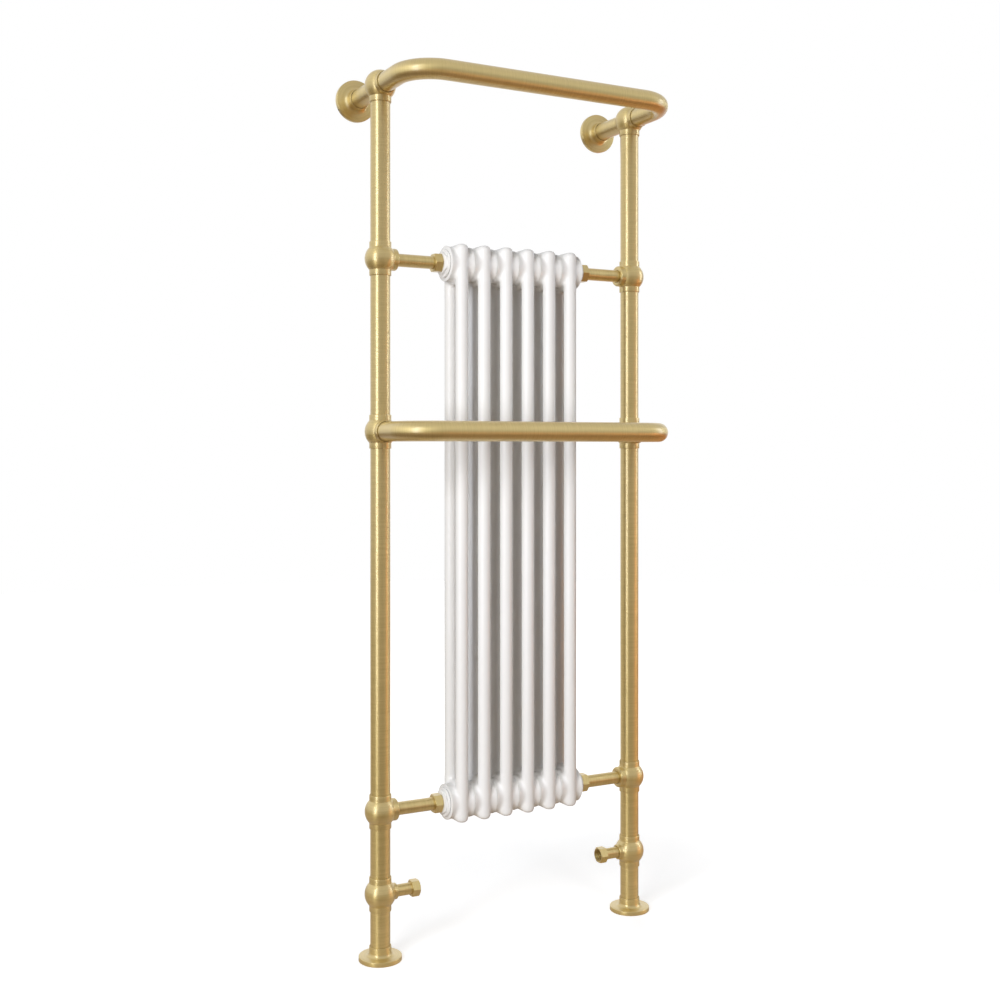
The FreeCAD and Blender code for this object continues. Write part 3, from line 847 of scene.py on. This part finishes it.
# Connections
def reducing_bush():
    hollow_r = BUSH_SHANK_R - BUSH_SHANK_WALL
    body = lathe([
        (hollow_r, -BUSH_SHANK_LENGTH),
        (BUSH_SHANK_R, -BUSH_SHANK_LENGTH),
        (BUSH_SHANK_R, BUSH_SEAT),
        (BUSH_FLANGE_R, BUSH_SEAT, BUSH_BACK_EDGE),
        (BUSH_FLANGE_R, BUSH_HEX_START, BUSH_EDGE),
        (BUSH_SPIGOT_R, BUSH_HEX_START),
        (BUSH_SPIGOT_R, BUSH_SPIGOT_END),
        (BUSH_BORE_R, BUSH_SPIGOT_END),
        (BUSH_BORE_R, 0),
        (hollow_r, 0),
    ])
    hex_root = BUSH_HEX_START - BUSH_HEX_LAP
    hole_r = BUSH_SPIGOT_R + FINE_GAP
    blank = hex_blank(BUSH_HEX_FLATS, hex_root, BUSH_HEX_END)
    nut = lathe([(hole_r, hex_root)] + blank + [(hole_r, BUSH_HEX_END)])
    mill_flats(nut, BUSH_HEX_FLATS, 0)
    join_form(body, nut)
    return body


def union_nut():
    blank = hex_blank(UNION_FLATS, UNION_START, UNION_END)
    tube_r = FEED_R + SOLDER_GAP
    bm = lathe([(UNION_THREAD_R, UNION_START)] + blank + [
        (tube_r, UNION_END),
        (tube_r, FEED_COLLAR_END),
        (UNION_THREAD_R, FEED_COLLAR_END),
    ])
    mill_flats(bm, UNION_FLATS, 90)
    lay_brush(bm)
    return bm


def feed_tube():
    inner = FEED_R - FEED_WALL
    ball_end = UPRIGHT_X - SEAT - RADIATOR_END
    bm = lathe([
        (inner, FEED_COLLAR_START),
        (FEED_COLLAR_R, FEED_COLLAR_START),
        (FEED_COLLAR_R, FEED_COLLAR_END),
        (FEED_R, FEED_COLLAR_END),
        (FEED_R, ball_end),
        (inner, ball_end),
    ])
    lay_brush(bm)
    return bm


def inlet_tail():
    inner = INLET_R - FEED_WALL
    bm = lathe([
        (inner, SEAT),
        (INLET_R, SEAT),
        (INLET_R, TAIL_COLLAR_START),
        (TAIL_COLLAR_R, TAIL_COLLAR_START),
        (TAIL_COLLAR_R, TAIL_END, TAIL_EDGE),
        (inner, TAIL_END, TAIL_EDGE),
    ])
    lay_brush(bm)
    return bm


def inlet_nut():
    """A loose union nut with its thread showing in its open end."""
    neck_r = INLET_R + FINE_GAP
    blank = hex_blank(INLET_FLATS, INLET_START, INLET_REACH)
    mouth = [(INLET_THREAD_R + THREAD_DEPTH, INLET_REACH)]
    thread = thread_rings(INLET_THREAD_R, INLET_THREAD_START, INLET_REACH)
    bm = lathe([(neck_r, INLET_START)] + blank + mouth + thread + [
        (INLET_THREAD_R, INLET_THREAD_START),
        (INLET_CHAMBER_R, INLET_THREAD_START),
        (INLET_CHAMBER_R, INLET_SHOULDER),
        (neck_r, INLET_SHOULDER),
    ])
    mill_flats(bm, INLET_FLATS, 90)
    lay_brush(bm)
    return bm


# Air vent
def vent_plug():
    hole_r = VENT_SPINDLE_R + FINE_GAP
    boss_root = VENT_BOSS_START - VENT_LAP
    blank = hex_blank(VENT_FLATS, VENT_SEAT, VENT_BOSS_START)
    bm = lathe([(VENT_SHANK_R, VENT_SEAT)] + blank + [(VENT_SHANK_R, VENT_BOSS_START)])
    mill_flats(bm, VENT_FLATS, 0)
    boss = lathe([
        (hole_r, VENT_SHANK_START),
        (VENT_SHANK_R, VENT_SHANK_START),
        (VENT_SHANK_R, boss_root),
        (VENT_BOSS_R, boss_root),
        (VENT_BOSS_R, VENT_END, VENT_EDGE),
        (VENT_RECESS_R, VENT_END, VENT_RECESS_EDGE),
        (VENT_RECESS_R, VENT_BOSS_START),
        (hole_r, VENT_BOSS_START),
    ])
    join_form(bm, boss)
    lay_brush(bm)
    return bm


def vent_spindle():
    """A round spindle with a square at its outer end for a key."""
    rod_end = VENT_SQUARE_START + VENT_LAP
    bm = lathe([
        (0, VENT_SHANK_START),
        (VENT_SPINDLE_R, VENT_SHANK_START),
        (VENT_SPINDLE_R, rod_end),
        (0, rod_end),
    ])
    size = (VENT_SQUARE, VENT_SQUARE, VENT_SQUARE_LENGTH, 1)
    middle = VENT_SQUARE_START + VENT_SQUARE_LENGTH / 2
    place = Matrix.Translation((0, 0, middle)) @ Matrix.Diagonal(size)
    corners = bmesh.ops.create_cube(bm, size=1, matrix=place)["verts"]
    soften(bm, edges_within(bm.edges, corners), VENT_SQUARE_EDGE)
    lay_brush(bm)
    return bm


# Assembly
def dress_uprights():
    tubes = ("leg_tube", "valve_riser", "long_riser", "upper_riser", "top_riser")
    both = (UP, DOWN)
    for side, outward in SIDES.items():
        inward = -outward
        foot = on_upright(side, 0)
        dress_brass(floor_flange(), side + "_floor_flange", foot)
        low = FOOT_FLOOR
        for tube, height in zip(tubes, HEIGHTS.values()):
            dress_brass(pipe(TUBE_R, TUBE_WALL, low, height - SEAT), side + "_" + tube, foot)
            low = height + SEAT
        vent_way = outward if side == "right" else None
        balls = {
            "valve": ball_joint(tube=both, inlet=(inward,)),
            "lower": ball_joint(tube=both, feed=(inward,)),
            "middle": ball_joint(tube=both + (FRONT,)),
            "upper": ball_joint(tube=both, feed=(inward,)),
            "top": ball_joint(vent_way, tube=(DOWN, FRONT), stay=(REAR,)),
        }
        for name, ball in balls.items():
            dress_brass(ball, side + "_" + name + "_ball", on_upright(side, HEIGHTS[name]))
        stay_end = WALL_Y - UPRIGHT_Y - PLATE_RECESS - FLANGE_ROOF
        stay = pipe(STAY_R, TUBE_WALL, SEAT, stay_end)
        dress_brass(stay, side + "_wall_stay", on_upright(side, HEIGHTS["top"]), REAR)
        dress_brass(wall_flange(side), side + "_wall_flange", on_wall(side), FRONT)


def dress_rails():
    for name in ("top", "middle"):
        dress_brass(towel_rail(), name + "_rail", (0, 0, HEIGHTS[name]))


def dress_grub_screws():
    """Both locking screws, as one piece for their one node."""
    pair = bmesh.new()
    for side in SIDES:
        join_form(pair, grub_screw(side), Matrix.Translation(on_wall(side)) @ turned_to(FRONT))
    dress(pair, "flange_grub_screws_steel", ["flange_grub_screws"], "plated_steel", DARK_STEEL)


def dress_radiator():
    head = section_head()
    for number in range(SECTION_COUNT):
        node = "radiator_section_%d" % (number + 1)
        x = (number - (SECTION_COUNT - 1) / 2) * SECTION_PITCH
        section = radiator_section(head)
        dress(section, node + "_enamel", [node], "white_enamel", ENAMEL, (x, UPRIGHT_Y, 0))
    bpy.data.meshes.remove(head)
    for side, outward in SIDES.items():
        for level in ("lower", "upper"):
            name = side + "_" + level
            end = Vector((outward.x * RADIATOR_END, UPRIGHT_Y, HEIGHTS[level]))
            dress(reducing_bush(), name + "_bush_enamel", [name + "_bush"], "white_enamel", ENAMEL,
                  end, outward, flat_faces=True)
            dress_brass(union_nut(), name + "_union_nut", end, outward, flat_faces=True)
            dress_brass(feed_tube(), name + "_feed_tube", end, outward)


def dress_fittings():
    for side, outward in SIDES.items():
        valve = on_upright(side, HEIGHTS["valve"])
        dress_brass(inlet_tail(), side + "_inlet_tail", valve, -outward)
        dress_brass(inlet_nut(), side + "_inlet_nut", valve, -outward, flat_faces=True)
    top = on_upright("right", HEIGHTS["top"])
    dress_brass(vent_plug(), "air_vent_plug", top, RIGHT, flat_faces=True)
    dress_brass(vent_spindle(), "air_vent_spindle", top, RIGHT, flat_faces=True)


def finish_kept_nodes():
    """Finishes for the nodes that show as they were packed."""
    kept = {
        "left_wall_plate": STEEL,
        "right_wall_plate": STEEL,
        "bush_gaskets": SEAL,
        "union_washers": SEAL,
    }
    for node, finish in kept.items():
        for place in frame["nodes"][node].material_slots:
            place.material = finish


# Studio, in metres. The backdrop is behind the object as the camera sees it, so it is set out along
# the camera's view, level with the floor.
CAMERA_PLACE = (-1.0840, -1.9898, 0.8648)
CAMERA_TURN = math.radians(27.86)
CAMERA_LENS = 46.19
CAMERA_SENSOR = 36.0
CAMERA_SHIFT = -0.0534
CAMERA_BACK = 2.3
VIEW_SPREAD = 0.43
VIEW_WAY = (math.sin(CAMERA_TURN), math.cos(CAMERA_TURN), 0.0)
SIDE_WAY = (math.cos(CAMERA_TURN), -math.sin(CAMERA_TURN), 0.0)
LIT_POINT = Vector((0, 0, 0.85))
FLOOR_R = 6.0
FLOOR_DROP = 0.0003
COOL_LIGHT = (0.92, 1.0, 1.15)
SOFT_LIGHT = (1.0, 0.985, 0.965)
WARM_LIGHT = (1.0, 0.42, 0.18)


def ramp(tree, value, start, end, low, high):
    """Go smoothly from low, where the value is at start, to high, where it is at end."""
    inputs = {"Value": value, "From Min": start, "From Max": end, "To Min": low, "To Max": high}
    return add(tree, "ShaderNodeMapRange", inputs, interpolation_type="SMOOTHSTEP").outputs[0]


def distance_along(tree, place, way):
    inputs = {0: place, 1: way}
    return add(tree, "ShaderNodeVectorMath", inputs, operation="DOT_PRODUCT").outputs["Value"]


def combine(tree, first, second, operation="ADD"):
    return add(tree, "ShaderNodeMath", {0: first, 1: second}, operation=operation).outputs[0]


def camera_rays(tree):
    return add(tree, "ShaderNodeLightPath").outputs["Is Camera Ray"]


def seen_rays(tree, mirrored=1.0):
    """1 for the camera's rays and glass, a share for mirrors, and 0 for rays that light things."""
    rays = add(tree, "ShaderNodeLightPath").outputs
    mirror = combine(tree, rays["Is Glossy Ray"], mirrored, "MULTIPLY")
    seen = combine(tree, rays["Is Camera Ray"], mirror, "MAXIMUM")
    return combine(tree, seen, rays["Is Transmission Ray"], "MAXIMUM")


def make_pale_floor():
    """White for the camera, but for a faint shadow. Metal mirrors it dimmer behind the object, as a
    pale sweep with a warm patch at its right, and warm in front of it."""
    finish, tree, surface = new_finish("pale_floor")
    place = object_place(tree)
    behind = distance_along(tree, place, VIEW_WAY)
    rightward = distance_along(tree, place, SIDE_WAY)
    camera = camera_rays(tree)

    # The sweep is the floor that the camera has in view, from just in front of the object backwards
    beside = combine(tree, rightward, 0.0, "ABSOLUTE")
    half_width = combine(tree, combine(tree, behind, CAMERA_BACK), VIEW_SPREAD, "MULTIPLY")
    outside = combine(tree, beside, half_width, "SUBTRACT")
    deep = ramp(tree, behind, -0.4, -0.27, 0.0, 1.0)
    sweep = combine(tree, deep, ramp(tree, outside, 0.0, 0.4, 1.0, 0.0), "MULTIPLY")

    # Colour under the lamps: brown as what throws light back at the object, grey for the camera
    brown = blend_colours(tree, sweep, (0.16, 0.115, 0.08, 1), (0.48, 0.35, 0.22, 1))
    colour = blend_colours(tree, camera, brown, (0.7, 0.7, 0.7, 1))

    # Colour of the glow that is seen
    white = combine(tree, sweep, camera, "MAXIMUM")
    patch = combine(tree, deep, ramp(tree, rightward, 0.3, 0.7, 0.0, 1.0), "MULTIPLY")
    mirrored_patch = combine(tree, patch, combine(tree, 1.0, camera, "SUBTRACT"), "MULTIPLY")
    tint = blend_colours(tree, white, (1.0, 0.8, 0.6, 1), (1, 1, 1, 1))
    tint = blend_colours(tree, mirrored_patch, tint, (0.9, 0.36, 0.12, 1))

    # Strength of the glow in mirrors, brighter at the right in front of the object
    to_right = combine(tree, rightward, combine(tree, behind, 0.8, "MULTIPLY"))
    front = ramp(tree, behind, -3.0, -0.5, 3.3, 1.1)
    front = combine(tree, front, ramp(tree, to_right, -0.1, 0.3, 0.45, 1.0), "MULTIPLY")
    rear = ramp(tree, behind, 0.2, 1.6, 0.9, 1.0)
    share = seen_rays(tree, ramp(tree, behind, 0.1, 1.2, 0.22, 0.5))
    mirrored = combine(tree, blend(tree, white, front, rear), share, "MULTIPLY")

    # Strength of the glow for the camera, less near the object, where its shadow shows
    away = add(tree, "ShaderNodeVectorMath", {0: place}, operation="LENGTH").outputs["Value"]
    shown = ramp(tree, away, 0.4, 1.4, 0.64, 1.0)

    set_inputs(tree, surface, {
        "Base Color": colour,
        "Roughness": 0.9,
        "Specular IOR Level": 0.1,
        "Emission Color": tint,
        "Emission Strength": blend(tree, camera, mirrored, shown),
    })
    return finish


def make_floor():
    bm = bmesh.new()
    bmesh.ops.create_circle(bm, cap_ends=True, segments=FLOOR_STEPS, radius=FLOOR_R)
    bmesh.ops.translate(bm, vec=(0, 0, -FLOOR_DROP), verts=bm.verts)
    floor = as_object(bm, "studio_floor")
    floor.data.materials.append(make_pale_floor())


def make_world():
    """A white backdrop, a dimmer studio in front of it for metal to show, and a little light."""
    world = bpy.data.worlds.new("studio")
    bpy.context.scene.world = world
    world.use_nodes = True
    tree = world.node_tree
    way = add(tree, "ShaderNodeTexCoord").outputs["Generated"]
    behind = distance_along(tree, way, VIEW_WAY)
    rightward = distance_along(tree, way, SIDE_WAY)
    height = distance_along(tree, way, UP)
    wall = ramp(tree, height, -0.1, 0.35, 0.42, 0.72)
    wall = combine(tree, wall, ramp(tree, rightward, -0.8, -0.4, 0.28, 0.0))
    backdrop = combine(tree, ramp(tree, behind, 0.74, 0.87, 0.0, 1.0), camera_rays(tree), "MAXIMUM")
    shown = blend(tree, backdrop, wall, 1.0)
    light = ramp(tree, behind, -0.5, 0.5, 0.06, 0.09)
    set_inputs(tree, tree.nodes["Background"], {
        "Color": (1, 1, 1, 1),
        "Strength": blend(tree, seen_rays(tree), light, shown),
    })


def make_softbox(name, place, size, power, colour=(1, 1, 1), shows=True):
    """A softbox turned to the middle of the object; metal mirrors it only where it shows."""
    lamp = bpy.data.lights.new(name, "AREA")
    lamp.shape = "RECTANGLE"
    lamp.size, lamp.size_y = size
    lamp.energy = power
    lamp.color = colour
    box = bpy.data.objects.new(name, lamp)
    box.location = place
    box.rotation_euler = (LIT_POINT - Vector(place)).to_track_quat("-Z", "Y").to_euler()
    box.visible_glossy = shows
    bpy.context.scene.collection.objects.link(box)


def make_lights():
    make_softbox("left_strip", (-2.69, -1.33, 1.4), (0.5, 2.8), 26, COOL_LIGHT)
    make_softbox("left_fill", (-2.36, -1.85, 1.3), (1.2, 2.2), 65, SOFT_LIGHT, shows=False)
    make_softbox("front_fill", (0.15, -3.0, 1.3), (0.7, 2.2), 23, shows=False)
    make_softbox("right_strip", (2.92, -0.70, 1.5), (0.6, 1.8), 11, COOL_LIGHT)
    make_softbox("rear_fill", (0.9, 2.0, 2.8), (1.4, 1.4), 20, shows=False)
    make_softbox("warm_bounce", (1.97, -1.38, 0.3), (0.8, 0.6), 3.2, WARM_LIGHT)


def make_camera():
    lens = bpy.data.cameras.new("photo_camera")
    lens.sensor_width = CAMERA_SENSOR
    lens.lens = CAMERA_LENS
    lens.shift_y = CAMERA_SHIFT
    camera = bpy.data.objects.new("photo_camera", lens)
    camera.location = CAMERA_PLACE
    camera.rotation_euler = (math.radians(90), 0, -CAMERA_TURN)
    bpy.context.scene.collection.objects.link(camera)
    bpy.context.scene.camera = camera


dress_uprights()
dress_rails()
dress_grub_screws()
dress_radiator()
dress_fittings()
finish_kept_nodes()
make_floor()
make_world()
make_lights()
make_camera()
bpy.context.scene.view_settings.view_transform = "Standard"
